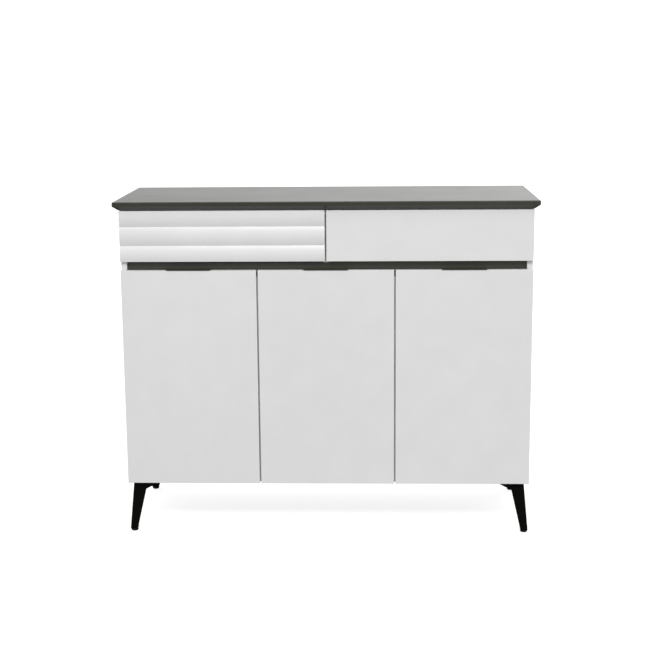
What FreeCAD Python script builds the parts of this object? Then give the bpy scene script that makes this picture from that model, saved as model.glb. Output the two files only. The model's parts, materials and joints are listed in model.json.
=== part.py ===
import FreeCAD, Part

# Sideboard buffet: a white cabinet on four splayed black steel legs, with a dark grey
# bevelled top, two drawers side by side and three doors below an open finger recess.
# Millimetres. Origin at the centre of the footprint on the floor, X to the right,
# the front faces -Y, +Z up.

import os

from FreeCAD import Vector

# Driving sizes
TOP_WIDTH = 1200.0
TOP_DEPTH = 450.0
TOTAL_HEIGHT = 980.0
TOP_THICKNESS = 24.0
TOP_BEVEL = 15.0            # how far the front and the two ends are undercut
TOP_BEVEL_HEIGHT = 12.0
TOP_ROUNDING = 2.5
LEG_HEIGHT = 154.0
BOARD = 16.0                # carcass boards, doors and drawer fronts
REVEAL = 4.5                # gap between neighbouring doors and drawer fronts
FRONT_EASING = 1.0          # rounding of the fronts' edges
BUMPER = 2.0                # gap between the fronts and the carcass
BUMPER_R = 3.0
DOOR_HEIGHT = 629.5
RECESS_HEIGHT = 25.0        # finger recess between doors and drawer fronts
TOP_CLEARANCE = 2.5         # above the drawer fronts

# Planes that follow from them
BODY_HALF = TOP_WIDTH / 2 - TOP_BEVEL
BACK = TOP_DEPTH / 2
FRONT = -BACK + TOP_BEVEL
FRONT_BACK = FRONT + BOARD
CARCASS_FRONT = FRONT_BACK + BUMPER
INNER_HALF = BODY_HALF - BOARD
BODY_BOTTOM = LEG_HEIGHT
BODY_TOP = TOTAL_HEIGHT - TOP_THICKNESS
DOOR_TOP = BODY_BOTTOM + DOOR_HEIGHT
DRAWER_FRONT_BOTTOM = DOOR_TOP + RECESS_HEIGHT
DRAWER_FRONT_TOP = BODY_TOP - TOP_CLEARANCE
DOOR_WIDTH = (2 * BODY_HALF - 2 * REVEAL) / 3
DOOR_PITCH = DOOR_WIDTH + REVEAL

# Back board, deck, rails, shelves
BACK_BOARD = 4.0
BACK_INSET = 8.0
BACK_GROOVE = 6.0
BACK_FACE = BACK - BACK_INSET - BACK_BOARD
FLOOR_TOP = BODY_BOTTOM + BOARD
DECK_TOP = DRAWER_FRONT_BOTTOM - 6.5        # leaves a dark gap behind the fronts
DECK_BOTTOM = DECK_TOP - BOARD
RAIL_SETBACK = 12.0
RAIL_HEIGHT = 40.0
RAIL_FRONT = CARCASS_FRONT + RAIL_SETBACK
STRETCHER_DEPTH = 80.0
SHELF_Z = 470.0
SHELF_SETBACK = 22.0
SHELF_PLAY = 1.8
PIN_SHANK_R = 2.5
PIN_COLLAR_R = 4.0
PIN_COLLAR = 1.5
PIN_PEG_R = 3.2
PIN_DEPTH = 7.5
HOLE_PITCH = 32.0
PARTITION_X = DOOR_PITCH / 2

# Fasteners and fittings in the boards
CAM_R = 7.5
CAM_DEPTH = 12.5
CAM_FROM_END = 34.0
BOLT_R = 2.5
BOLT_HEAD_R = 3.4
BOLT_HEAD = 3.0
BOLT_LENGTH = 42.0
BOLT_IN_UPRIGHT = 11.0
DOWEL_R = 4.0
DOWEL_LENGTH = 30.0
DOWEL_IN_UPRIGHT = 10.0
SMALL_SCREW = (14.0, 1.6, 3.4)      # length, shank radius, head radius
RAIL_SCREW = (11.0, 1.6, 3.4)
FRONT_SCREW = (20.0, 1.6, 3.4)
BOX_SCREW = (28.0, 1.6, 3.4)
PANEL_SCREW = (36.0, 2.1, 4.2)

# Drawers and their ball-bearing slides
SLIDE_WIDTH = 13.0
SLIDE_LENGTH = 350.0
SLIDE_HEIGHT = 45.0
SLIDE_SHEET = 1.2
SLIDE_OUTER_DEPTH = 9.5
SLIDE_MIDDLE_DEPTH = 8.8
SLIDE_INNER_DEPTH = 8.0
SLIDE_MIDDLE_LIFT = 1.5     # from the cabinet member's web to the middle member
SLIDE_PLAY = 0.5
DRAWER_BOARD = 12.0
DRAWER_BOTTOM_BOARD = 5.0
DRAWER_BOTTOM_SINK = 5.0    # how deep the bottom sits in its grooves
DRAWER_BOTTOM_LIFT = 8.0
DRAWER_BOX_LOW = DECK_TOP + 14.0
DRAWER_BOX_HIGH = 925.0
DRAWER_DEPTH = SLIDE_LENGTH + 10.0
REED_PITCH = 54.0
REED_DEPTH = 5.0
FIRST_GROOVE = 45.3         # from the front's lower edge to the first groove

# Concealed hinges, measured from the door's hinge edge (u), forwards from the
# carcass front (v) and along the door's height (z)
HINGE_Z = (BODY_BOTTOM + 95.0, DOOR_TOP - 95.0)
CUP_U = 22.5
CUP_R = 17.4
CUP_DEPTH = 11.5
CUP_WALL = 1.0
FLANGE = 1.2
FLANGE_HALF = 28.0
FLANGE_SCREW = 22.5
EAR = 2.5                   # ears in the cup that hold its pin
CUP_PIN = (10.0, 7.0)
LINK_ELBOW = (18.0, 9.5)
ARM_PIN = (34.0, -6.0)
PIN_R = 1.25
PIN_PLAY = 0.05
LINK_HALF = 5.0
ARM_INNER = 5.5
ARM_OUTER = 7.0
PIN_HALF = 8.0
ARM_HIGH = 38.0
ARM_BACK = 58.0
ARM_SHEET = 1.5
PLATE = 3.0
PLATE_WING = 2.0
PLATE_SCREW = 16.0

# Edge pulls
PULL_LENGTH = 128.0
PULL_SHEET = 1.4
PULL_LIP = 0.5
PULL_TAPER = 7.0
PULL_FLANGE = 20.0
PULL_SCREW = 48.0           # from its middle to each screw

# Legs: outline of one blade as (inwards from the corner, height)
LEG_SHEET = 3.0
LEG_INSET = 12.0
LEG_SPLAY = 13.0
LEG_FOOT = 21.0
REAR_LEG_SHIFT = 3.0        # keeps the rear feet inside the top's back edge
LEG_OUTLINE_INNER = ((47.5, 127.0), (79.0, 142.5), (91.0, 151.0))
GLIDE_HEIGHT = 8.0
GLIDE_R = 10.5
STEM_R = 3.0
LEG_PLATE = 92.0
LEG_SCREWS = ((16.0, 16.0), (78.0, 16.0), (16.0, 78.0), (70.0, 70.0))

Z_UP = Vector(0, 0, 1)
FORWARD = Vector(0, -1, 0)

parts = {}
cuts = {}


def add(node, *solids):
    """Put solids into a node."""
    parts.setdefault(node, []).extend(solids)


def cut_from(tool, *nodes):
    """Take a tool's volume out of the named nodes when they are finished."""
    for node in nodes:
        cuts.setdefault(node, []).append(tool)


def box(x0, x1, y0, y1, z0, z1):
    low = Vector(min(x0, x1), min(y0, y1), min(z0, z1))
    return Part.makeBox(abs(x1 - x0), abs(y1 - y0), abs(z1 - z0), low)


def rod(radius, start, direction, length):
    return Part.makeCylinder(radius, length, start, direction)


def prism(points, direction):
    """Solid from a closed flat outline pushed along a vector."""
    wire = Part.makePolygon(list(points) + [points[0]])
    return Part.Face(wire).extrude(direction)


def mirrored(shape):
    return shape.mirror(Vector(0, 0, 0), Vector(1, 0, 0))


def eased(solid, radius, wanted):
    """Round the edges of a solid whose centre passes a test."""
    edges = [edge for edge in solid.Edges if wanted(edge.CenterOfMass)]
    return solid.makeFillet(radius, edges)


# Fasteners -------------------------------------------------------------------

def screw_body(head_at, direction, length, radius, head_r):
    """Countersunk screw whose head is flush at head_at."""
    head = Part.makeCone(head_r, radius, head_r - radius, head_at, direction)
    straight = length - 2 * radius
    shank = rod(radius, head_at, direction, straight)
    tip = Part.makeCone(radius, 0.3, 2 * radius, head_at + direction * straight, direction)
    return head.fuse([shank, tip]).removeSplitter()


def cross_recess(head_at, direction, head_r):
    """Tool for a cross-shaped drive recess in a screw head."""
    side = Vector(1, 0, 0) if abs(direction.x) < 0.5 else Vector(0, 1, 0)
    other = direction.cross(side)
    half_length = head_r * 0.55
    half_width = head_r * 0.13
    depth = direction * (head_r * 0.45)
    bars = []
    for along, across in ((side, other), (other, side)):
        corners = [head_at + along * (sa * half_length) + across * (sb * half_width)
                   for sa, sb in ((1, 1), (1, -1), (-1, -1), (-1, 1))]
        bars.append(prism(corners, depth))
    return bars[0].fuse(bars[1])


def screw(node, size, head_at, direction, *through):
    """Add a countersunk screw to a node and cut its seat in what it holds."""
    length, radius, head_r = size
    body = screw_body(head_at, direction, length, radius, head_r)
    cut_from(body, *through)
    add(node, body.cut(cross_recess(head_at, direction, head_r)))


def cam_joint(board, upright, face_x, inward, y, z, under):
    """Cam lock, connecting bolt and two boards held together."""
    run = Vector(inward, 0, 0)
    cam_x = face_x + inward * CAM_FROM_END
    start = Vector(face_x - inward * BOLT_IN_UPRIGHT, y, z)
    head = rod(BOLT_HEAD_R, start + run * BOLT_LENGTH, run, BOLT_HEAD)
    bolt = rod(BOLT_R, start, run, BOLT_LENGTH).fuse(head)
    pocket = rod(CAM_R, Vector(cam_x, y, under), Z_UP, CAM_DEPTH)
    way_in = rod(BOLT_HEAD_R, Vector(cam_x - inward * (CAM_R + 0.5), y, z), run, CAM_R + 0.6)
    slot = box(cam_x - 5.0, cam_x + 5.0, y - 0.6, y + 0.6, under, under + 2.0)
    add("cam_locks", pocket.cut(way_in).cut(slot).cut(bolt))
    add("cam_bolts", bolt)
    cut_from(pocket, board)
    cut_from(bolt, board, upright)


def dowel_joint(board, upright, face_x, inward, y, z):
    start = Vector(face_x - inward * DOWEL_IN_UPRIGHT, y, z)
    dowel = rod(DOWEL_R, start, Vector(inward, 0, 0), DOWEL_LENGTH)
    add("dowels", dowel)
    cut_from(dowel, board, upright)


# Carcass ----------------------------------------------------------------------

def make_top():
    top = box(-TOP_WIDTH / 2, TOP_WIDTH / 2, -BACK, BACK, BODY_TOP, TOTAL_HEIGHT)
    corner = Vector(-TOP_WIDTH / 2, -BACK, BODY_TOP)
    upper = corner + Z_UP * TOP_BEVEL_HEIGHT
    front = prism([corner, corner + Vector(0, TOP_BEVEL, 0), upper], Vector(TOP_WIDTH, 0, 0))
    end = prism([corner, corner + Vector(TOP_BEVEL, 0, 0), upper], Vector(0, TOP_DEPTH, 0))
    top = top.cut([front, end, mirrored(end)])
    top = eased(top, TOP_ROUNDING, lambda c: c.z > TOTAL_HEIGHT - 0.1)
    add("top_panel", top)


def make_sides():
    for name, sign in (("left", -1), ("right", 1)):
        side = box(sign * BODY_HALF, sign * INNER_HALF, CARCASS_FRONT, BACK,
                   BODY_BOTTOM, BODY_TOP)
        groove = box(sign * INNER_HALF, sign * (INNER_HALF + BACK_GROOVE),
                     BACK_FACE, BACK_FACE + BACK_BOARD, BODY_BOTTOM, BODY_TOP)
        add("side_panel_" + name, side.cut(groove))


def make_level_boards():
    add("bottom_panel", box(-INNER_HALF, INNER_HALF, CARCASS_FRONT, BACK_FACE,
                            BODY_BOTTOM, FLOOR_TOP))
    rail_back = RAIL_FRONT + BOARD
    add("finger_rail", box(-INNER_HALF, INNER_HALF, RAIL_FRONT, rail_back,
                           DECK_TOP - RAIL_HEIGHT, DECK_TOP))
    add("drawer_deck", box(-INNER_HALF, INNER_HALF, rail_back, BACK_FACE,
                           DECK_BOTTOM, DECK_TOP))
    low = BODY_TOP - BOARD
    add("front_stretcher", box(-INNER_HALF, INNER_HALF, CARCASS_FRONT,
                               CARCASS_FRONT + STRETCHER_DEPTH, low, BODY_TOP))
    add("rear_stretcher", box(-INNER_HALF, INNER_HALF, BACK_FACE - STRETCHER_DEPTH,
                              BACK_FACE, low, BODY_TOP))


def make_uprights():
    half = BOARD / 2
    for name, sign in (("left", -1), ("right", 1)):
        board = box(sign * PARTITION_X - half, sign * PARTITION_X + half,
                    CARCASS_FRONT, BACK_FACE, FLOOR_TOP, DECK_BOTTOM)
        rail_notch = box(sign * PARTITION_X - half, sign * PARTITION_X + half,
                         CARCASS_FRONT, RAIL_FRONT + BOARD,
                         DECK_TOP - RAIL_HEIGHT, DECK_BOTTOM)
        add("partition_" + name, board.cut(rail_notch))
    add("drawer_divider", box(-half, half, RAIL_FRONT, BACK_FACE,
                              DECK_TOP, BODY_TOP - BOARD))


def make_back():
    reach = INNER_HALF + BACK_GROOVE
    add("back_panel", box(-reach, reach, BACK_FACE, BACK_FACE + BACK_BOARD,
                          BODY_BOTTOM, BODY_TOP))
    held = [(x, z, "partition_" + name)
            for x, name in ((-PARTITION_X, "left"), (PARTITION_X, "right"))
            for z in (250.0, 400.0, 550.0, 700.0)]
    held += [(x, low + BOARD / 2, board)
             for x in (-480.0, -290.0, -100.0, 100.0, 290.0, 480.0)
             for board, low in (("bottom_panel", BODY_BOTTOM), ("drawer_deck", DECK_BOTTOM),
                                ("rear_stretcher", BODY_TOP - BOARD))]
    for x, z, board in held:
        screw("back_screws", SMALL_SCREW, Vector(x, BACK_FACE + BACK_BOARD, z), FORWARD,
              "back_panel", board)


def bays():
    """Name and inner x range of each cupboard."""
    inner = PARTITION_X - BOARD / 2
    outer = PARTITION_X + BOARD / 2
    return (("left", -INNER_HALF, -outer), ("middle", -inner, inner),
            ("right", outer, INNER_HALF))


def make_shelves():
    from_edge = 45.0
    stagger = 9.0       # pins in the two faces of one partition miss each other
    y0 = CARCASS_FRONT + SHELF_SETBACK
    y1 = BACK_FACE - 2.0
    for name, x0, x1 in bays():
        add("shelf_" + name, box(x0 + SHELF_PLAY, x1 - SHELF_PLAY, y0, y1,
                                 SHELF_Z, SHELF_Z + BOARD))
        uprights = {"left": ("side_panel_left", "partition_left"),
                    "middle": ("partition_left", "partition_right"),
                    "right": ("partition_right", "side_panel_right")}[name]
        inset = from_edge + (stagger if name == "middle" else 0.0)
        for x, inward, upright in ((x0, 1, uprights[0]), (x1, -1, uprights[1])):
            for y in (y0 + inset, y1 - inset):
                shelf_support(x, y, inward, upright)


def shelf_support(x, y, inward, upright):
    """A shelf pin in a column of holes that lets the shelf move up or down."""
    out = Vector(inward, 0, 0)
    mouth = Vector(x, y, SHELF_Z - PIN_PEG_R)
    shank = rod(PIN_SHANK_R, mouth - out * PIN_DEPTH, out, PIN_DEPTH)
    collar = rod(PIN_COLLAR_R, mouth, out, PIN_COLLAR)
    peg = rod(PIN_PEG_R, mouth + out * PIN_COLLAR, out, PIN_DEPTH)
    add("shelf_pins", shank.fuse([collar, peg]))
    for step in (-2, -1, 0, 1, 2):
        cut_from(shank.translated(Z_UP * (step * HOLE_PITCH)), upright)


def make_joinery():
    middle = BOARD / 2
    front_y = -152.0
    rear_y = 173.0
    # Each level board: underside, then the places of its cams and dowels along the depth
    boards = (("bottom_panel", BODY_BOTTOM, (-75.0, 95.0), (-40.0, 60.0)),
              ("drawer_deck", DECK_BOTTOM, (-110.0, 130.0), (-60.0, 80.0)),
              ("front_stretcher", BODY_TOP - BOARD, (front_y,), (-127.0, -178.0)),
              ("rear_stretcher", BODY_TOP - BOARD, (rear_y,), (148.0, 200.0)))
    for side, sign in (("side_panel_left", -1), ("side_panel_right", 1)):
        face = sign * INNER_HALF
        for board, under, cams, dowels in boards:
            for y in cams:
                cam_joint(board, side, face, -sign, y, under + middle, under)
            for y in dowels:
                dowel_joint(board, side, face, -sign, y, under + middle)
        dowel_joint("finger_rail", side, face, -sign, RAIL_FRONT + middle,
                    DECK_TOP - RAIL_HEIGHT / 2)

    # Screws up into an upright or the top, and down into the partitions
    driven = [(0.0, y, DECK_BOTTOM, Z_UP, "drawer_deck", "drawer_divider")
              for y in (-130.0, 60.0)]
    for name, x in (("left", -PARTITION_X), ("right", PARTITION_X)):
        for y in (-100.0, 120.0):
            driven.append((x, y, BODY_BOTTOM, Z_UP, "bottom_panel", "partition_" + name))
            driven.append((x, y, DECK_TOP, -Z_UP, "drawer_deck", "partition_" + name))
    for y, rail in ((front_y, "front_stretcher"), (rear_y, "rear_stretcher")):
        for x in (-400.0, -80.0, 80.0, 400.0):
            driven.append((x, y, BODY_TOP - BOARD, Z_UP, rail, "top_panel"))
    for x, y, z, direction, board, into in driven:
        screw("panel_screws", PANEL_SCREW, Vector(x, y, z), direction, board, into)


# Legs -------------------------------------------------------------------------

def make_leg():
    """Front left leg: two folded blades under a plate, and its foot plate."""
    top_z = LEG_HEIGHT - LEG_SHEET
    x_top = -BODY_HALF + LEG_INSET
    y_top = CARCASS_FRONT + LEG_INSET
    drop = top_z - GLIDE_HEIGHT

    def lean(z):
        return LEG_SPLAY * (top_z - z) / drop

    def outline(to_point):
        foot_out = LEG_INSET - LEG_SPLAY
        low = GLIDE_HEIGHT
        rows = [(LEG_INSET, top_z), (foot_out, low), (foot_out + LEG_FOOT, low)]
        rows += LEG_OUTLINE_INNER
        return [to_point(inwards, z) for inwards, z in rows]

    def on_front(inwards, z):
        return Vector(-BODY_HALF + inwards, y_top - lean(z), z)

    def on_side(inwards, z):
        return Vector(x_top - lean(z), CARCASS_FRONT + inwards, z)

    front_blade = prism(outline(on_front), Vector(0, LEG_SHEET, 0))
    side_blade = prism(outline(on_side), Vector(LEG_SHEET, 0, 0))
    plate = box(x_top, x_top + LEG_PLATE, y_top, y_top + LEG_PLATE, top_z, LEG_HEIGHT)
    corner = [edge for edge in plate.Edges if edge.Length < LEG_SHEET + 0.1]
    plate = plate.makeFillet(8.0, corner[-1:])
    foot_x = x_top - LEG_SPLAY
    foot_y = y_top - LEG_SPLAY
    foot = box(foot_x, foot_x + LEG_FOOT, foot_y, foot_y + LEG_FOOT,
               GLIDE_HEIGHT, GLIDE_HEIGHT + LEG_SHEET)
    leg = front_blade.fuse([side_blade, plate, foot]).removeSplitter()
    centre = Vector(foot_x + LEG_FOOT / 2, foot_y + LEG_FOOT / 2, 0)
    pad = rod(GLIDE_R, centre, Z_UP, GLIDE_HEIGHT)
    pad = eased(pad, 2.0, lambda c: c.z < 0.1)
    stem = rod(STEM_R, centre + Z_UP * GLIDE_HEIGHT, Z_UP, 2 * LEG_SHEET)
    glide = pad.fuse(stem)
    leg = leg.cut(stem)
    seats = [(x_top + across, y_top + back) for across, back in LEG_SCREWS]
    return leg, glide, seats


def make_legs():
    leg, glide, seats = make_leg()
    rear_plane = (CARCASS_FRONT + BACK - REAR_LEG_SHIFT) / 2
    for x_name, x_side in (("left", -1), ("right", 1)):
        for y_name, y_side in (("front", -1), ("rear", 1)):
            node = "leg_" + y_name + "_" + x_name
            shapes = [leg, glide]
            if x_side > 0:
                shapes = [mirrored(shape) for shape in shapes]
            if y_side > 0:
                flip_at = Vector(0, rear_plane, 0)
                shapes = [shape.mirror(flip_at, Vector(0, 1, 0)) for shape in shapes]
            add(node, shapes[0])
            add("leg_glides", shapes[1])
            for x, y in seats:
                head_x = x if x_side < 0 else -x
                head_y = y if y_side < 0 else 2 * rear_plane - y
                screw("fitting_screws", SMALL_SCREW,
                      Vector(head_x, head_y, LEG_HEIGHT - LEG_SHEET), Z_UP,
                      node, "bottom_panel")


# Doors ------------------------------------------------------------------------

def at(edge_x, u, v, z):
    """Point at a place measured from a left-hand door's hinge edge."""
    return Vector(edge_x + u, CARCASS_FRONT - v, z)


def bar(edge_x, start, end, half_width, z, half_height):
    """Flat bar with round ends between two (u, v) places."""
    a = at(edge_x, start[0], start[1], z - half_height)
    b = at(edge_x, end[0], end[1], z - half_height)
    run = b - a
    length = run.Length
    run.normalize()
    side = Vector(-run.y, run.x, 0) * half_width
    height = Vector(0, 0, 2 * half_height)
    web = prism([a + side, a + run * length + side, b - side, a - side], height)
    ends = [rod(half_width, point, Z_UP, 2 * half_height) for point in (a, b)]
    return web.fuse(ends)


class Hung:
    """Puts pieces laid out for a left-hung door in place, mirrored for a right-hung one."""

    def __init__(self, right_hung):
        self.right_hung = right_hung

    def turned(self, shape):
        return mirrored(shape) if self.right_hung else shape

    def add(self, node, solid):
        add(node, self.turned(solid))

    def cut_from(self, tool, node):
        cut_from(self.turned(tool), node)

    def screw(self, node, head_at, direction, *through):
        if self.right_hung:
            head_at = Vector(-head_at.x, head_at.y, head_at.z)
            direction = Vector(-direction.x, direction.y, direction.z)
        screw(node, SMALL_SCREW, head_at, direction, *through)


def make_plate_and_arm(hung, edge_x, face_u, z, upright):
    """The carcass side of a hinge: a screwed plate and the arm that holds the link's pin."""
    def spot(u, v, height=z):
        return at(edge_x, u, v, height)

    high_u = face_u + PLATE
    plate = box(edge_x + face_u, edge_x + high_u, CARCASS_FRONT + 20.0,
                CARCASS_FRONT + 56.0, z - 8.0, z + 8.0)
    wings = box(edge_x + face_u, edge_x + face_u + PLATE_WING, CARCASS_FRONT + 31.0,
                CARCASS_FRONT + 43.0, z - 24.0, z + 24.0)
    hung.add("hinge_plates", plate.fuse(wings).removeSplitter())
    for offset in (-PLATE_SCREW, PLATE_SCREW):
        hung.screw("fitting_screws", spot(face_u + PLATE_WING, -37.0, z + offset),
                   Vector(-1, 0, 0), "hinge_plates", upright)

    # Two cheeks and a web, open at the front round the link
    cheek = ((high_u, -ARM_BACK), (high_u, -18.0), (29.5, -2.5), (ARM_HIGH, -2.5),
             (ARM_HIGH, -ARM_BACK))
    cheeks = [prism([spot(u, v, low) for u, v in cheek], Z_UP * (ARM_OUTER - ARM_INNER))
              for low in (z - ARM_OUTER, z + ARM_INNER)]
    web = box(edge_x + ARM_HIGH - ARM_SHEET, edge_x + ARM_HIGH, CARCASS_FRONT + 13.0,
              CARCASS_FRONT + ARM_BACK, z - ARM_OUTER, z + ARM_OUTER)
    heel = box(edge_x + high_u, edge_x + ARM_HIGH, CARCASS_FRONT + 40.0,
               CARCASS_FRONT + 50.0, z - ARM_INNER, z + ARM_INNER)
    arm = cheeks[0].fuse([cheeks[1], web, heel]).removeSplitter()
    pin_way = rod(PIN_R + PIN_PLAY, spot(*ARM_PIN, z - PIN_HALF), Z_UP, 2 * PIN_HALF)
    hung.add("hinge_arms", arm.cut(pin_way))


def make_cup(hung, name, edge_x, z):
    """The door side of a hinge: a flanged cup with two ears for the link's pin."""
    def spot(u, v, height=z):
        return at(edge_x, u, v, height)

    cups = "hinge_cups_" + name
    door = "door_" + name
    well = rod(CUP_R, spot(CUP_U, BUMPER), FORWARD, CUP_DEPTH)
    hung.cut_from(well, door)
    flange_at = spot(CUP_U, BUMPER - FLANGE)
    wing_half = 9.0
    flange = rod(CUP_R + 1.6, flange_at, FORWARD, FLANGE)
    wing = box(flange_at.x - wing_half, flange_at.x + wing_half, flange_at.y,
               flange_at.y - FLANGE, z - FLANGE_HALF, z + FLANGE_HALF)
    wing = eased(wing, 4.0, lambda c: abs(abs(c.z - z) - FLANGE_HALF) < 0.1
                 and abs(abs(c.x - flange_at.x) - wing_half) < 0.1)
    hollow = rod(CUP_R - CUP_WALL, flange_at, FORWARD, FLANGE + CUP_DEPTH - CUP_WALL)
    cup = well.fuse([flange, wing]).cut(hollow)
    room = rod(CUP_R - CUP_WALL / 2, flange_at, FORWARD, 13.0)
    ear = ((7.2, 3.6), (13.0, 3.6), (15.0, 8.0), (15.0, 13.0), (7.2, 13.0))
    for low in (z - PIN_HALF, z + PIN_HALF - EAR):
        outline = [spot(u, v, low) for u, v in ear]
        cup = cup.fuse(prism(outline, Z_UP * EAR).common(room))
    pin_way = rod(PIN_R + PIN_PLAY, spot(*CUP_PIN, z - PIN_HALF - 0.1), Z_UP,
                  2 * PIN_HALF + 0.2)
    hung.add(cups, cup.cut(pin_way).removeSplitter())
    for offset in (-FLANGE_SCREW, FLANGE_SCREW):
        hung.screw("door_screws_" + name, spot(CUP_U, BUMPER - FLANGE, z + offset), FORWARD,
                   cups, door)


def make_link(hung, name, edge_x, z):
    """A cranked link between the cup and the arm, with its two pins pressed in."""
    half_width = 1.5
    eye_r = 2.6
    link = bar(edge_x, CUP_PIN, LINK_ELBOW, half_width, z, LINK_HALF)
    link = link.fuse(bar(edge_x, LINK_ELBOW, ARM_PIN, half_width, z, LINK_HALF))
    for u, v in (CUP_PIN, ARM_PIN):
        link = link.fuse(rod(eye_r, at(edge_x, u, v, z - LINK_HALF), Z_UP, 2 * LINK_HALF))
    for u, v in (CUP_PIN, ARM_PIN):
        pin = rod(PIN_R, at(edge_x, u, v, z - PIN_HALF), Z_UP, 2 * PIN_HALF)
        link = link.cut(pin)
        hung.add("hinge_links_" + name, pin)
    hung.add("hinge_links_" + name, link.removeSplitter())


def make_pull(hung, name, middle_x):
    """Edge pull: flange behind the door, web over its edge, tapered lip in front."""
    half = PULL_LENGTH / 2
    back = FRONT_BACK + PULL_SHEET
    lip_front = FRONT - PULL_SHEET
    crest = DOOR_TOP + PULL_SHEET
    flange = box(middle_x - half, middle_x + half, FRONT_BACK, back,
                 DOOR_TOP - PULL_FLANGE, crest)
    web = box(middle_x - half, middle_x + half, FRONT, FRONT_BACK, DOOR_TOP, crest)
    outline = [Vector(middle_x + dx, FRONT, z) for dx, z in
               ((-half, crest), (half, crest), (half, DOOR_TOP + 0.2),
                (half - PULL_TAPER, DOOR_TOP - PULL_LIP),
                (PULL_TAPER - half, DOOR_TOP - PULL_LIP), (-half, DOOR_TOP + 0.2))]
    lip = prism(outline, Vector(0, lip_front - FRONT, 0))
    pull = flange.fuse([web, lip]).removeSplitter()
    pull = eased(pull, 0.8, lambda c: c.z > crest - 0.1 and c.y < FRONT)
    hung.add("pull_" + name, pull)
    for dx in (-PULL_SCREW, PULL_SCREW):
        hung.screw("door_screws_" + name, Vector(middle_x + dx, back, DOOR_TOP - 12.0),
                   FORWARD, "pull_" + name, "door_" + name)


def make_door(name, x0, face_u, upright, right_hung):
    """A door with its hinges and pull. Its hinge edge is at x0, before any mirroring."""
    hung = Hung(right_hung)
    panel = box(x0, x0 + DOOR_WIDTH, FRONT, FRONT_BACK, BODY_BOTTOM, DOOR_TOP)
    hung.add("door_" + name, eased(panel, FRONT_EASING, lambda c: c.y < FRONT + 0.1))
    for z in HINGE_Z:
        make_plate_and_arm(hung, x0, face_u, z, upright)
        make_cup(hung, name, x0, z)
        make_link(hung, name, x0, z)
    make_pull(hung, name, x0 + DOOR_WIDTH / 2)


def make_doors():
    half = DOOR_WIDTH / 2
    partition_face = half - PARTITION_X + BOARD / 2
    make_door("left", -BODY_HALF, BOARD, "side_panel_left", False)
    make_door("middle", -half, partition_face, "partition_left", False)
    make_door("right", -BODY_HALF, BOARD, "side_panel_right", True)
    # Soft bumpers on the partition edges that the free corners of the doors meet
    aside = BOARD / 2 - BUMPER_R - 0.2
    from_end = 30.0
    for x in (-PARTITION_X - aside, PARTITION_X - aside, PARTITION_X + aside):
        for z in (BODY_BOTTOM + from_end, DECK_TOP - RAIL_HEIGHT - from_end):
            bumper = rod(BUMPER_R, Vector(x, CARCASS_FRONT, z), FORWARD, BUMPER - 0.3)
            add("door_bumpers", eased(bumper, 0.8, lambda c: c.y < CARCASS_FRONT - 1.0))


# Drawers ----------------------------------------------------------------------

def reeded_front(x0, x1):
    """Drawer front with three level convex reeds; the outer two are cut short."""
    first = DRAWER_FRONT_BOTTOM + FIRST_GROOVE
    grooves = [first + i * REED_PITCH for i in (-1, 0, 1, 2)]
    y_groove = FRONT + REED_DEPTH
    edges = []
    for low, high in zip(grooves, grooves[1:]):
        edges.append(Part.Arc(Vector(x0, y_groove, low),
                              Vector(x0, FRONT, (low + high) / 2),
                              Vector(x0, y_groove, high)).toShape())
    corners = [Vector(x0, y_groove, grooves[-1]), Vector(x0, FRONT_BACK, grooves[-1]),
               Vector(x0, FRONT_BACK, grooves[0]), Vector(x0, y_groove, grooves[0])]
    edges += [Part.LineSegment(a, b).toShape() for a, b in zip(corners, corners[1:])]
    block = Part.Face(Part.Wire(edges)).extrude(Vector(x1 - x0, 0, 0))
    trim = box(x0, x1, FRONT - 1, FRONT_BACK + 1, DRAWER_FRONT_BOTTOM, DRAWER_FRONT_TOP)
    return block.common(trim)


def channel(x_web, opening, depth, y0, y1, z0, z1):
    """Rolled steel slide member: an upright web with two flanges towards opening."""
    outer = box(x_web, x_web + opening * depth, y0, y1, z0, z1)
    inner = box(x_web + opening * SLIDE_SHEET, x_web + opening * depth, y0, y1,
                z0 + SLIDE_SHEET, z1 - SLIDE_SHEET)
    return outer.cut(inner)


def make_slide(name, face_x, inward, upright, box_side):
    """One ball-bearing slide between an upright's face and a drawer side."""
    y0 = RAIL_FRONT + 2.0
    y1 = y0 + SLIDE_LENGTH
    z_mid = (DRAWER_BOX_LOW + DRAWER_BOX_HIGH) / 2
    side_x = face_x + inward * SLIDE_WIDTH
    step = SLIDE_SHEET + SLIDE_PLAY
    half = SLIDE_HEIGHT / 2
    middle_half = half - step
    inner_half = middle_half - step - SLIDE_PLAY
    middle_x = face_x + inward * (SLIDE_SHEET + SLIDE_MIDDLE_LIFT)
    for node, x, opening, depth, reach in (
            ("cabinet_slides", face_x, inward, SLIDE_OUTER_DEPTH, half),
            ("slide_middle_" + name, middle_x, inward, SLIDE_MIDDLE_DEPTH, middle_half),
            ("drawer_slides_" + name, side_x, -inward, SLIDE_INNER_DEPTH, inner_half)):
        add(node, channel(x, opening, depth, y0, y1, z_mid - reach, z_mid + reach))
    # Screws from the two sides of the divider pass each other
    stagger = 5.0 * inward
    for y in (y0 + 40.0 + stagger, y0 + 170.0 + stagger, y1 - 40.0 + stagger):
        screw("fitting_screws", SMALL_SCREW, Vector(face_x + inward * SLIDE_SHEET, y, z_mid),
              Vector(-inward, 0, 0), "cabinet_slides", upright)
        screw("drawer_screws_" + name, RAIL_SCREW,
              Vector(side_x - inward * SLIDE_SHEET, y + 20.0, z_mid),
              Vector(inward, 0, 0), "drawer_slides_" + name, box_side)


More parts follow.
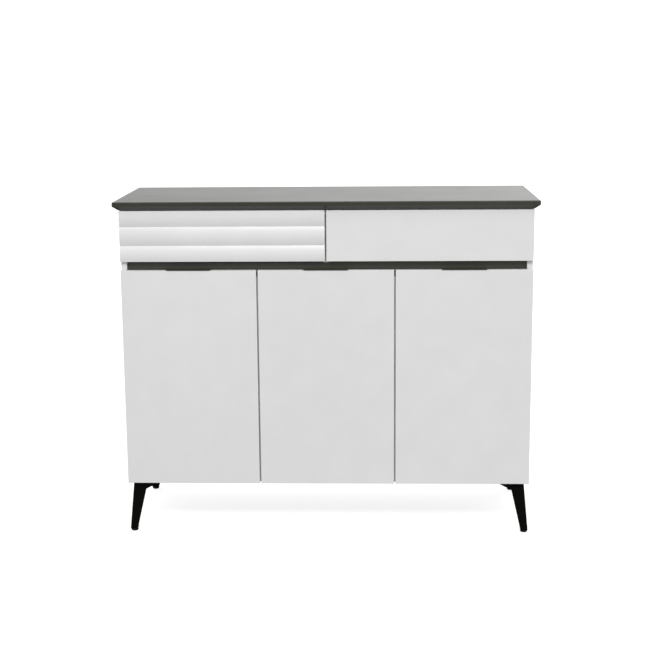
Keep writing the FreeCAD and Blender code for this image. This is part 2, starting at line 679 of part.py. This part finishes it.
def make_drawer_box(name, left, right):
    """Two sides, two ends and a bottom let into their grooves, screwed together."""
    sides = "drawer_sides_" + name
    ends = "drawer_ends_" + name
    screws = "drawer_screws_" + name
    low, high = DRAWER_BOX_LOW, DRAWER_BOX_HIGH
    front_y = FRONT_BACK
    back_y = FRONT_BACK + DRAWER_DEPTH
    for x in (left, right - DRAWER_BOARD):
        add(sides, box(x, x + DRAWER_BOARD, front_y, back_y, low, high))
    for y in (front_y, back_y - DRAWER_BOARD):
        add(ends, box(left + DRAWER_BOARD, right - DRAWER_BOARD, y, y + DRAWER_BOARD,
                      low, high))
    edge = DRAWER_BOARD - DRAWER_BOTTOM_SINK
    lift = low + DRAWER_BOTTOM_LIFT
    bottom = box(left + edge, right - edge, front_y + edge, back_y - edge,
                 lift, lift + DRAWER_BOTTOM_BOARD)
    add("drawer_bottom_" + name, bottom)
    cut_from(bottom, sides, ends)
    for x, run in ((left, 1), (right, -1)):
        for y in (front_y + DRAWER_BOARD / 2, back_y - DRAWER_BOARD / 2):
            for z in (low + 30.0, high - 20.0):
                screw(screws, BOX_SCREW, Vector(x, y, z), Vector(run, 0, 0), sides, ends)
    for x in (left + 70.0, right - 70.0):
        for z in (low + 35.0, high - 25.0):
            screw(screws, FRONT_SCREW, Vector(x, front_y + DRAWER_BOARD, z), FORWARD,
                  ends, "drawer_front_" + name)


def make_drawer(name, x0, x1, bay0, bay1, uprights):
    """Drawer front x0 to x1, its box and slides between two uprights' faces."""
    if name == "left":
        front = reeded_front(x0, x1)
    else:
        front = box(x0, x1, FRONT, FRONT_BACK, DRAWER_FRONT_BOTTOM, DRAWER_FRONT_TOP)
        front = eased(front, FRONT_EASING, lambda c: c.y < FRONT + 0.1)
    add("drawer_front_" + name, front)
    make_drawer_box(name, bay0 + SLIDE_WIDTH, bay1 - SLIDE_WIDTH)
    make_slide(name, bay0, 1, uprights[0], "drawer_sides_" + name)
    make_slide(name, bay1, -1, uprights[1], "drawer_sides_" + name)


def make_drawers():
    half_gap = REVEAL / 2
    half_board = BOARD / 2
    make_drawer("left", -BODY_HALF, -half_gap, -INNER_HALF, -half_board,
                ("side_panel_left", "drawer_divider"))
    make_drawer("right", half_gap, BODY_HALF, half_board, INNER_HALF,
                ("drawer_divider", "side_panel_right"))


def export_parts():
    os.makedirs("parts", exist_ok=True)
    for node, solids in parts.items():
        tools = cuts.get(node, [])
        finished = []
        for solid in solids:
            near = [tool for tool in tools if tool.BoundBox.intersect(solid.BoundBox)]
            shape = solid.cut(near) if near else solid
            finished.extend(shape.Solids)
        shape = finished[0] if len(finished) == 1 else Part.makeCompound(finished)
        shape.exportStep("parts/" + node + ".step")
        print(node, len(finished), "solids", round(shape.Volume / 1000.0, 1), "cm3",
              "valid" if shape.isValid() else "INVALID")


make_top()
make_sides()
make_level_boards()
make_uprights()
make_back()
make_shelves()
make_joinery()
make_legs()
make_doors()
make_drawers()
export_parts()
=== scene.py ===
import json
import math

import bmesh
import bpy
from mathutils import Matrix, Vector


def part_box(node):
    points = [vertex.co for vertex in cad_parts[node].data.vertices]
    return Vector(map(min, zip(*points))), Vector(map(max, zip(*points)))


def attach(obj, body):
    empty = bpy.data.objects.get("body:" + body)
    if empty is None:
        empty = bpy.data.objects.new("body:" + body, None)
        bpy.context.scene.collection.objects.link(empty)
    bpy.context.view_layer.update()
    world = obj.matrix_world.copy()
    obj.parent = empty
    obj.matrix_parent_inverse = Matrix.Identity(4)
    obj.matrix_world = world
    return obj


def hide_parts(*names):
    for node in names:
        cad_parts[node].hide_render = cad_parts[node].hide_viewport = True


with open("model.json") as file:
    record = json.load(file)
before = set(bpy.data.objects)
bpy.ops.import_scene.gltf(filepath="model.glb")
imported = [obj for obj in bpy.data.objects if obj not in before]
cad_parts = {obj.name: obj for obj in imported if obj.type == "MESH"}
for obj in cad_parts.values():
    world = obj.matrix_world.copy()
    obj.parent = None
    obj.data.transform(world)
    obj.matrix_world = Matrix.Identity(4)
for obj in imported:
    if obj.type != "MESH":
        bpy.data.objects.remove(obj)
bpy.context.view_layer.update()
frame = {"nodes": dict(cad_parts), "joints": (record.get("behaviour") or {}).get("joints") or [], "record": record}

# White sideboard with a dark bevelled top, on splayed black legs. Metres; X to the right,
# the fronts face -Y, +Z up.

SCENE = bpy.context.scene
SLOT_OF = {part["node"]: part["material_slot"] for part in frame["record"]["subparts"]}


# Materials ------------------------------------------------------------------------

NOISE_LOW = 0.3             # a noise seldom leaves this range
NOISE_HIGH = 0.7
SOFT_ALPHA = 0.75

class Look:
    """A node material, built up around one Principled shader."""

    def __init__(self, name):
        self.material = bpy.data.materials.new(name)
        self.material.use_nodes = True
        self.tree = self.material.node_tree
        self.shader = self.tree.nodes["Principled BSDF"]
        self.place = self.add("ShaderNodeTexCoord").outputs["Object"]

    def add(self, kind, **settings):
        node = self.tree.nodes.new(kind)
        for key, value in settings.items():
            setattr(node, key, value)
        return node

    def link(self, output, socket):
        self.tree.links.new(output, socket)

    def set(self, **values):
        """Constant values on the shader's own sockets."""
        for key, value in values.items():
            self.shader.inputs[key.replace("_", " ")].default_value = value

    def scaled(self, stretch):
        mapping = self.add("ShaderNodeMapping")
        mapping.inputs["Scale"].default_value = stretch
        self.link(self.place, mapping.inputs["Vector"])
        return mapping.outputs["Vector"]

    def noise(self, scale, detail=3.0, rough=0.5, stretch=(1, 1, 1)):
        node = self.add("ShaderNodeTexNoise")
        node.inputs["Scale"].default_value = scale
        node.inputs["Detail"].default_value = detail
        node.inputs["Roughness"].default_value = rough
        self.link(self.scaled(stretch), node.inputs["Vector"])
        return node.outputs["Fac"]

    def cells(self, scale):
        node = self.add("ShaderNodeTexVoronoi")
        node.inputs["Scale"].default_value = scale
        self.link(self.place, node.inputs["Vector"])
        return node.outputs["Distance"]

    def spread(self, value, low, high):
        """A noise's usual range as a number between low and high."""
        node = self.add("ShaderNodeMapRange")
        for key, number in (("From Min", NOISE_LOW), ("From Max", NOISE_HIGH),
                            ("To Min", low), ("To Max", high)):
            node.inputs[key].default_value = number
        self.link(value, node.inputs["Value"])
        return node.outputs["Result"]

    def between(self, value, dark, light):
        """A noise's usual range as a colour between dark and light."""
        node = self.add("ShaderNodeValToRGB")
        node.color_ramp.elements[0].position = NOISE_LOW
        node.color_ramp.elements[0].color = (*dark, 1)
        node.color_ramp.elements[1].position = NOISE_HIGH
        node.color_ramp.elements[1].color = (*light, 1)
        self.link(value, node.inputs["Fac"])
        return node.outputs["Color"]

    def multiplied(self, first, second):
        """One colour times another."""
        node = self.add("ShaderNodeMix", data_type="RGBA", blend_type="MULTIPLY")
        node.inputs["Factor"].default_value = 1.0
        self.link(first, node.inputs[6])
        self.link(second, node.inputs[7])
        return node.outputs[2]

    def colour(self, output):
        self.link(output, self.shader.inputs["Base Color"])

    def roughness(self, output):
        self.link(output, self.shader.inputs["Roughness"])

    def bumps(self, *layers):
        """Height fields as (output, strength, distance), laid over each other."""
        previous = None
        for height, strength, distance in layers:
            node = self.add("ShaderNodeBump")
            node.inputs["Strength"].default_value = strength
            node.inputs["Distance"].default_value = distance
            self.link(height, node.inputs["Height"])
            if previous is not None:
                self.link(previous, node.inputs["Normal"])
            previous = node.outputs["Normal"]
        self.link(previous, self.shader.inputs["Normal"])


def white_lacquer():
    """Satin lacquer, faintly uneven."""
    look = Look("white_lacquer")
    cloud = look.noise(2.2, 2.0)
    patch = look.noise(14.0, 3.0)
    soft = look.between(cloud, (0.725, 0.731, 0.724), (0.745, 0.750, 0.746))
    fine = look.between(patch, (0.970, 0.970, 0.970), (1.0, 1.0, 1.0))
    look.colour(look.multiplied(soft, fine))
    look.roughness(look.spread(look.noise(6.0, 4.0), 0.29, 0.37))
    look.set(IOR=1.5)
    look.bumps((look.noise(420.0, 2.0), 0.05, 0.0006), (look.noise(30.0, 2.0), 0.03, 0.002))
    return look.material


def melamine(name, dark, light, rough=(0.42, 0.55)):
    """Melamine faced board with its fine pearl emboss."""
    look = Look(name)
    look.colour(look.between(look.noise(3.0, 4.0), dark, light))
    look.roughness(look.spread(look.noise(9.0, 3.0), *rough))
    look.bumps((look.cells(700.0), 0.12, 0.0004), (look.noise(1400.0, 2.0), 0.08, 0.0002))
    return look.material


def dark_laminate(name, dark, light):
    """Satin stone-grey laminate, faintly clouded and specked."""
    look = Look(name)
    cloud = look.between(look.noise(5.0, 5.0, 0.6, (0.5, 1.3, 1)), dark, light)
    speck = look.between(look.noise(520.0, 2.0, 0.7), (0.86, 0.86, 0.86), (1.0, 1.0, 1.0))
    look.colour(look.multiplied(cloud, speck))
    look.roughness(look.spread(look.noise(3.0, 4.0, 0.6), 0.290, 0.335))
    look.set(IOR=1.5)
    look.bumps((look.noise(900.0, 2.0), 0.08, 0.0003), (look.noise(60.0, 3.0), 0.03, 0.001))
    return look.material


def anodised():
    """Dark anodised aluminium, brushed along X."""
    look = Look("dark_anodised")
    grain = look.noise(900.0, 2.0, 0.6, (0.02, 1, 1))
    look.colour(look.between(grain, (0.030, 0.030, 0.021), (0.040, 0.040, 0.029)))
    look.roughness(look.spread(grain, 0.34, 0.46))
    look.bumps((grain, 0.08, 0.0002))
    return look.material


def powder_coat():
    """Black powder coat with its fine orange peel."""
    look = Look("black_powder_coat")
    look.colour(look.between(look.noise(40.0, 3.0), (0.0015, 0.0015, 0.0010),
                             (0.0028, 0.0028, 0.0020)))
    look.roughness(look.spread(look.noise(25.0, 3.0), 0.50, 0.62))
    look.set(Specular_IOR_Level=0.05)
    look.bumps((look.noise(1300.0, 3.0, 0.6), 0.15, 0.0003))
    return look.material


def plated(name, tint, rough, grain_stretch=(1, 0.05, 1)):
    """Bright plated steel with a faint rolled grain."""
    look = Look(name)
    grain = look.noise(700.0, 3.0, 0.6, grain_stretch)
    dark = tuple(0.88 * part for part in tint)
    look.colour(look.between(grain, dark, tint))
    look.roughness(look.spread(grain, rough, rough + 0.14))
    look.set(Metallic=1.0)
    look.bumps((grain, 0.06, 0.0002))
    return look.material


def moulded(name, dark, light, rough, gloss=0.5, soft=False):
    """Moulded plastic or rubber with a fine spark-eroded texture."""
    look = Look(name)
    look.set(Specular_IOR_Level=gloss)
    look.colour(look.between(look.noise(60.0, 3.0), dark, light))
    look.roughness(look.spread(look.noise(90.0, 2.0), rough, rough + 0.12))
    look.bumps((look.noise(1100.0, 2.0), 0.2, 0.0002))
    if soft:
        look.set(Alpha=SOFT_ALPHA)
    return look.material


def beech():
    """Turned beech, its grain along X."""
    look = Look("beech")
    rings = look.noise(90.0, 4.0, 0.6, (0.08, 1, 1))
    look.colour(look.between(rings, (0.44, 0.28, 0.15), (0.60, 0.42, 0.26)))
    look.roughness(look.spread(rings, 0.55, 0.7))
    look.bumps((rings, 0.3, 0.0003))
    return look.material


def make_looks():
    board = ((0.690, 0.695, 0.690), (0.720, 0.725, 0.720))
    return {
        "white_front": white_lacquer(),
        "white_board": melamine("white_melamine", *board),
        "drawer_board": melamine("drawer_melamine", (0.69, 0.69, 0.68), (0.73, 0.73, 0.72)),
        "back_board": melamine("back_foil", (0.66, 0.66, 0.645), (0.71, 0.71, 0.695),
                               (0.55, 0.68)),
        "dark_top": dark_laminate("dark_laminate", (0.016, 0.016, 0.0095),
                                  (0.038, 0.038, 0.0275)),
        "pull_metal": anodised(),
        "leg_metal": powder_coat(),
        "glide_plastic": moulded("black_glide", (0.003, 0.003, 0.003), (0.006, 0.006, 0.006),
                                 0.55, 0.12),
        "bumper_rubber": moulded("clear_bumper", (0.60, 0.60, 0.60), (0.70, 0.70, 0.70), 0.29,
                                 soft=True),
        "steel": plated("zinc_plated", (0.66, 0.67, 0.68), 0.30),
        "hinge_steel": plated("nickel_plated", (0.70, 0.69, 0.66), 0.285),
        "cam_zinc": plated("cast_zinc", (0.52, 0.52, 0.53), 0.42, (1, 1, 1)),
        "beech": beech(),
    }


LOOKS = make_looks()


def paint_cad_nodes():
    """Each CAD node takes its slot's look; the rail gets a lighter copy of the top's laminate, painted light
    standing in for the bounce light its recess would get.
    """
    for name, node in frame["nodes"].items():
        node.data.materials.clear()
        node.data.materials.append(LOOKS[SLOT_OF[name]])
    # Painted light: the rail's laminate is lightened to stand in for bounce light reaching the finger recess.
    rail = dark_laminate("rail_laminate_painted_bounce", (0.050, 0.050, 0.038), (0.062, 0.062, 0.048))
    frame["nodes"]["finger_rail"].data.materials[0] = rail


# Detail pieces --------------------------------------------------------------------

DOORS = ("left", "middle", "right")
MM = 0.001
GLIDE_RADIUS = 10.5 * MM
FLUTE = 0.45 * MM
MEMBER_OPENING = 6.8 * MM       # depth inside a drawer slide member, from its web
LEVER_FROM_FRONT = 82.0 * MM
LEVER_THICK = 2.2 * MM
BAND_THICK = 0.8 * MM
HINGE_FROM_END = 95.0 * MM      # from a door's end to its hinge's middle
ARM_WEB = 4.0 * MM              # from the arm's pin to the arm's outer face
ADJUSTERS = (24.0 * MM, 39.0 * MM)
SHARP = math.radians(35)


def finished(name, form, smooth=True):
    """Mesh from an edit form, smooth but for its sharp edges."""
    bmesh.ops.recalc_face_normals(form, faces=form.faces)
    mesh = bpy.data.meshes.new(name)
    form.to_mesh(mesh)
    form.free()
    if smooth:
        mesh.shade_smooth()
        mesh.set_sharp_from_angle(angle=SHARP)
    return mesh


def put(name, mesh, body, slot, *replaced):
    """A piece with its material, riding on a body."""
    mesh.materials.clear()
    mesh.materials.append(LOOKS[slot])
    piece = bpy.data.objects.new(name, mesh)
    SCENE.collection.objects.link(piece)
    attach(piece, body)
    if replaced:
        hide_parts(*replaced)


def lathe(form, rows, segments):
    """Turned solid about Z from (radius, height, flute depth) rows, closed on the axis."""
    rings = []
    for radius, height, flute in rows:
        ring = []
        for step in range(segments if radius else 1):
            angle = 2 * math.pi * step / segments
            reach = radius - (flute if step % 3 == 0 else 0.0)
            ring.append(form.verts.new((reach * math.cos(angle), reach * math.sin(angle), height)))
        rings.append(ring)
    for below, above in zip(rings, rings[1:]):
        for step in range(segments):
            after = step + 1
            corners = [below[step % len(below)], below[after % len(below)],
                       above[after % len(above)], above[step % len(above)]]
            form.faces.new(list(dict.fromkeys(corners)))


def plate(form, outline, low, high):
    """Flat plate between two heights from an (x, y) outline."""
    ends = [[form.verts.new((x, y, z)) for x, y in outline] for z in (low, high)]
    form.faces.new(ends[0][::-1])
    form.faces.new(ends[1])
    for step in range(len(outline)):
        after = (step + 1) % len(outline)
        form.faces.new((ends[0][step], ends[0][after], ends[1][after], ends[1][step]))


def ease(form, width, steps=2):
    """Round the sharp edges."""
    sharp = [edge for edge in form.edges if edge.calc_face_angle(0.0) > SHARP]
    bmesh.ops.bevel(form, geom=sharp, offset=width, segments=steps, profile=0.5, affect="EDGES")


def repeated(name, mesh, places):
    """One mesh put at several places and joined."""
    form = bmesh.new()
    for place in places:
        before = len(form.verts)
        form.from_mesh(mesh)
        form.verts.ensure_lookup_table()
        bmesh.ops.transform(form, matrix=place, verts=form.verts[before:])
    bpy.data.meshes.remove(mesh)
    return finished(name, form)


def carved(mesh, tool):
    """One mesh less another."""
    target = bpy.data.objects.new("target", mesh)
    cutter = bpy.data.objects.new("cutter", tool)
    for thing in (target, cutter):
        SCENE.collection.objects.link(thing)
    cut = target.modifiers.new("cut", "BOOLEAN")
    cut.solver = "EXACT"
    cut.object = cutter
    graph = bpy.context.evaluated_depsgraph_get()
    result = bpy.data.meshes.new_from_object(target.evaluated_get(graph))
    for thing in (target, cutter):
        bpy.data.objects.remove(thing)
    for old in (mesh, tool):
        bpy.data.meshes.remove(old)
    return result


def make_glides():
    """Levelling glides: a soft sole, a fluted rim to turn by, and a threaded stem."""
    low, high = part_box("leg_glides")
    rim = GLIDE_RADIUS
    rows = [(0.0, 0.0, 0.0), (rim - 2.2 * MM, 0.0, 0.0), (rim - 1.4 * MM, 0.5 * MM, 0.0),
            (rim - 1.3 * MM, 1.6 * MM, 0.0), (rim - 0.5 * MM, 1.8 * MM, 0.0),
            (rim, 2.5 * MM, FLUTE), (rim, 6.6 * MM, FLUTE), (rim - 0.7 * MM, 7.4 * MM, 0.0),
            (rim - 3.0 * MM, 8.0 * MM, 0.0), (3.0 * MM, 8.0 * MM, 0.0)]
    thread = 8.0 * MM
    while thread < high.z - 1.0 * MM:
        rows += [(2.6 * MM, thread + 0.25 * MM, 0.0), (3.0 * MM, thread + 0.75 * MM, 0.0)]
        thread += 1.0 * MM
    rows += [(2.4 * MM, high.z, 0.0), (0.0, high.z, 0.0)]
    form = bmesh.new()
    lathe(form, rows, 72)
    places = [Matrix.Translation((x, y, 0.0)) for x in (low.x + rim, high.x - rim)
              for y in (low.y + rim, high.y - rim)]
    mesh = repeated("levelling_glides", finished("glide", form), places)
    put("levelling_glides", mesh, "carcass", "glide_plastic", "leg_glides")


def screw_head(radius, height):
    """Pan head with a cross recess."""
    form = bmesh.new()
    lathe(form, [(0.0, 0.0, 0.0), (radius, 0.0, 0.0), (radius, 0.45 * height, 0.0),
                 (0.90 * radius, 0.78 * height, 0.0), (0.62 * radius, 0.96 * height, 0.0),
                 (0.0, height, 0.0)], 36)
    reach, half = 0.62 * radius, 0.15 * radius
    tool = bmesh.new()
    cross = [(half, half), (half, reach), (-half, reach), (-half, half), (-reach, half),
             (-reach, -half), (-half, -half), (-half, -reach), (half, -reach), (half, -half),
             (reach, -half), (reach, half)]
    plate(tool, cross, 0.35 * height, 1.5 * height)
    return carved(finished("head", form), finished("cross", tool, smooth=False))


def make_hinge_adjusters():
    """Two adjusting screws on each hinge arm."""
    pins = {joint["name"]: joint.get("pos_m") for joint in frame["joints"]}
    places = []
    for side in DOORS:
        low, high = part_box("door_" + side)
        pin = Vector(pins[side + "_hinge_link"])
        inward = -1 if side == "right" else 1
        facing = Matrix.Rotation(inward * math.pi / 2, 4, "Y")
        for z in (low.z + HINGE_FROM_END, high.z - HINGE_FROM_END):
            for back in ADJUSTERS:
                spot = (pin.x + inward * ARM_WEB, pin.y + back, z)
                places.append(Matrix.Translation(spot) @ facing)
    mesh = repeated("hinge_adjusters", screw_head(3.1 * MM, 1.5 * MM), places)
    put("hinge_adjusters", mesh, "carcass", "steel")


def make_slide_levers(side):
    """Release levers on a drawer's two slide members."""
    outline = [(0, -3), (8, -4.5), (18, -3.5), (46, -1.5), (58, -3.5), (70, -7), (74, -6),
               (74, -2.5), (60, 1.5), (46, 3.5), (30, 4.5), (25, 8), (20, 8), (18, 4.5),
               (8, 4.5), (0, 3)]
    form = bmesh.new()
    plate(form, [(x * MM, y * MM) for x, y in outline], 0.0, LEVER_THICK)
    ease(form, 0.5 * MM)
    lever = finished("lever", form)
    form = bmesh.new()
    form.from_mesh(lever)
    lathe(form, [(0.0, LEVER_THICK, 0.0), (2.4 * MM, LEVER_THICK, 0.0),
                 (2.1 * MM, LEVER_THICK + 0.6 * MM, 0.0), (0.0, LEVER_THICK + 0.8 * MM, 0.0)], 24)
    bpy.data.meshes.remove(lever)
    low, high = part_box("drawer_slides_" + side)
    middle = (low.z + high.z) / 2
    places = []
    for x, outward in ((low.x + MEMBER_OPENING, -1), (high.x - MEMBER_OPENING, 1)):
        axes = Matrix(((0, 0, outward), (1, 0, 0), (0, outward, 0))).to_4x4()
        places.append(Matrix.Translation((x, low.y + LEVER_FROM_FRONT, middle)) @ axes)
    name = "slide_levers_" + side
    put(name, repeated(name, finished("lever", form), places), "drawer_" + side, "glide_plastic")


def make_shelf_band(side):
    """Edge band along a shelf's front edge."""
    low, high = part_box("shelf_" + side)
    form = bmesh.new()
    corners = [(low.x, low.y - BAND_THICK), (high.x, low.y - BAND_THICK), (high.x, low.y),
               (low.x, low.y)]
    plate(form, corners, low.z, high.z)
    front = [edge for edge in form.edges
             if all(vert.co.y < low.y - BAND_THICK / 2 for vert in edge.verts)]
    bmesh.ops.bevel(form, geom=front, offset=0.5 * BAND_THICK, segments=3, profile=0.5,
                    affect="EDGES")
    name = "shelf_band_" + side
    put(name, finished(name, form), "carcass", "white_board")


def make_details():
    make_glides()
    make_hinge_adjusters()
    for side in ("left", "right"):
        make_slide_levers(side)
    for side in DOORS:
        make_shelf_band(side)


# Stage ----------------------------------------------------------------------------

# Camera: place in metres, yaw to the right, pitch down and roll in degrees
CAMERA_AT = (0.136, -3.971, 1.371)
CAMERA_TURN = (-2.23, 11.095, -0.51)
LENS_MM = 75.08
SENSOR_MM = 36.0
BRIGHT = 1.00
DIM = 0.35
DIM_BELOW = 0.42            # 0 is straight down, 0.5 the horizon, 1 straight up
BRIGHT_ABOVE = 0.52
GLOW_FROM = (0.47, 0.87, 0.15)
GLOW_STARTS = 0.76          # cosine from the glow's middle
GLOW_GAIN = 1.5
BACKDROP = 1.05
KEY_AT = (0.3, -5.2, 4.0)
KEY_TO = (0.0, -0.2, 0.6)
KEY_SIZE = (3.2, 0.7)
KEY_WATTS = 135.0
FLOOR_HALF = 30.0
FLOOR_GLOW = 0.62


def make_camera():
    yaw, pitch, roll = (math.radians(angle) for angle in CAMERA_TURN)
    data = bpy.data.cameras.new("camera")
    data.lens = LENS_MM
    data.sensor_width = SENSOR_MM
    camera = bpy.data.objects.new("camera", data)
    turn = (Matrix.Rotation(-yaw, 4, "Z") @ Matrix.Rotation(math.pi / 2 - pitch, 4, "X")
            @ Matrix.Rotation(roll, 4, "Z"))
    camera.matrix_world = Matrix.Translation(CAMERA_AT) @ turn
    SCENE.collection.objects.link(camera)
    SCENE.camera = camera


def soft_light(name, place, target, width, height, watts):
    data = bpy.data.lights.new(name, "AREA")
    data.shape = "RECTANGLE"
    data.size = width
    data.size_y = height
    data.energy = watts
    light = bpy.data.objects.new(name, data)
    aim = (Vector(target) - Vector(place)).to_track_quat("-Z", "Y")
    light.matrix_world = Matrix.Translation(place) @ aim.to_matrix().to_4x4()
    SCENE.collection.objects.link(light)


def make_studio():
    """A white studio: bright above, dimmer below, and pure white where the camera sees it."""
    world = bpy.data.worlds.new("studio")
    world.use_nodes = True
    tree = world.node_tree
    dome = tree.nodes["Background"]
    place = tree.nodes.new("ShaderNodeTexCoord")
    split = tree.nodes.new("ShaderNodeSeparateXYZ")
    ramp = tree.nodes.new("ShaderNodeValToRGB")
    height = tree.nodes.new("ShaderNodeMapRange")
    height.inputs["From Min"].default_value = -1.0
    tree.links.new(place.outputs["Generated"], split.inputs["Vector"])
    tree.links.new(split.outputs["Z"], height.inputs["Value"])
    tree.links.new(height.outputs["Result"], ramp.inputs["Fac"])
    ramp.color_ramp.elements[0].position = DIM_BELOW
    ramp.color_ramp.elements[0].color = (DIM, DIM, DIM, 1)
    ramp.color_ramp.elements[1].position = BRIGHT_ABOVE
    ramp.color_ramp.elements[1].color = (BRIGHT, BRIGHT, BRIGHT, 1)
    towards = tree.nodes.new("ShaderNodeVectorMath")
    towards.operation = "DOT_PRODUCT"
    towards.inputs[1].default_value = GLOW_FROM
    tree.links.new(place.outputs["Generated"], towards.inputs[0])
    lift = tree.nodes.new("ShaderNodeMapRange")
    lift.interpolation_type = "SMOOTHSTEP"
    lift.inputs["From Min"].default_value = GLOW_STARTS
    lift.inputs["From Max"].default_value = 1.0
    lift.inputs["To Min"].default_value = 1.0
    lift.inputs["To Max"].default_value = GLOW_GAIN
    tree.links.new(towards.outputs["Value"], lift.inputs["Value"])
    glow = tree.nodes.new("ShaderNodeVectorMath")
    glow.operation = "SCALE"
    tree.links.new(ramp.outputs["Color"], glow.inputs[0])
    tree.links.new(lift.outputs["Result"], glow.inputs["Scale"])
    tree.links.new(glow.outputs["Vector"], dome.inputs["Color"])
    backdrop = tree.nodes.new("ShaderNodeBackground")
    backdrop.inputs["Color"].default_value = (1, 1, 1, 1)
    backdrop.inputs["Strength"].default_value = BACKDROP
    path = tree.nodes.new("ShaderNodeLightPath")
    mix = tree.nodes.new("ShaderNodeMixShader")
    tree.links.new(path.outputs["Is Camera Ray"], mix.inputs["Fac"])
    tree.links.new(dome.outputs["Background"], mix.inputs[1])
    tree.links.new(backdrop.outputs["Background"], mix.inputs[2])
    tree.links.new(mix.outputs["Shader"], tree.nodes["World Output"].inputs["Surface"])
    SCENE.world = world
    SCENE.view_settings.view_transform = "Standard"
    SCENE.view_settings.look = "None"
    soft_light("key", KEY_AT, KEY_TO, *KEY_SIZE, KEY_WATTS)


def make_floor():
    """A plain pale floor that takes a shadow but throws no light on the object."""
    size = FLOOR_HALF
    mesh = bpy.data.meshes.new("floor")
    corners = [(-size, -size, 0), (size, -size, 0), (size, size, 0), (-size, size, 0)]
    mesh.from_pydata(corners, [], [(0, 1, 2, 3)])
    floor = bpy.data.objects.new("floor", mesh)
    SCENE.collection.objects.link(floor)
    look = Look("pale_floor")
    look.colour(look.between(look.noise(0.8, 3.0), (0.60, 0.60, 0.60), (0.64, 0.64, 0.64)))
    look.set(Roughness=0.8, Emission_Color=(1, 1, 1, 1), Emission_Strength=FLOOR_GLOW)
    mesh.materials.append(look.material)
    floor.visible_diffuse = False
    floor.visible_glossy = False


make_camera()
make_studio()
make_floor()
paint_cad_nodes()
make_details()
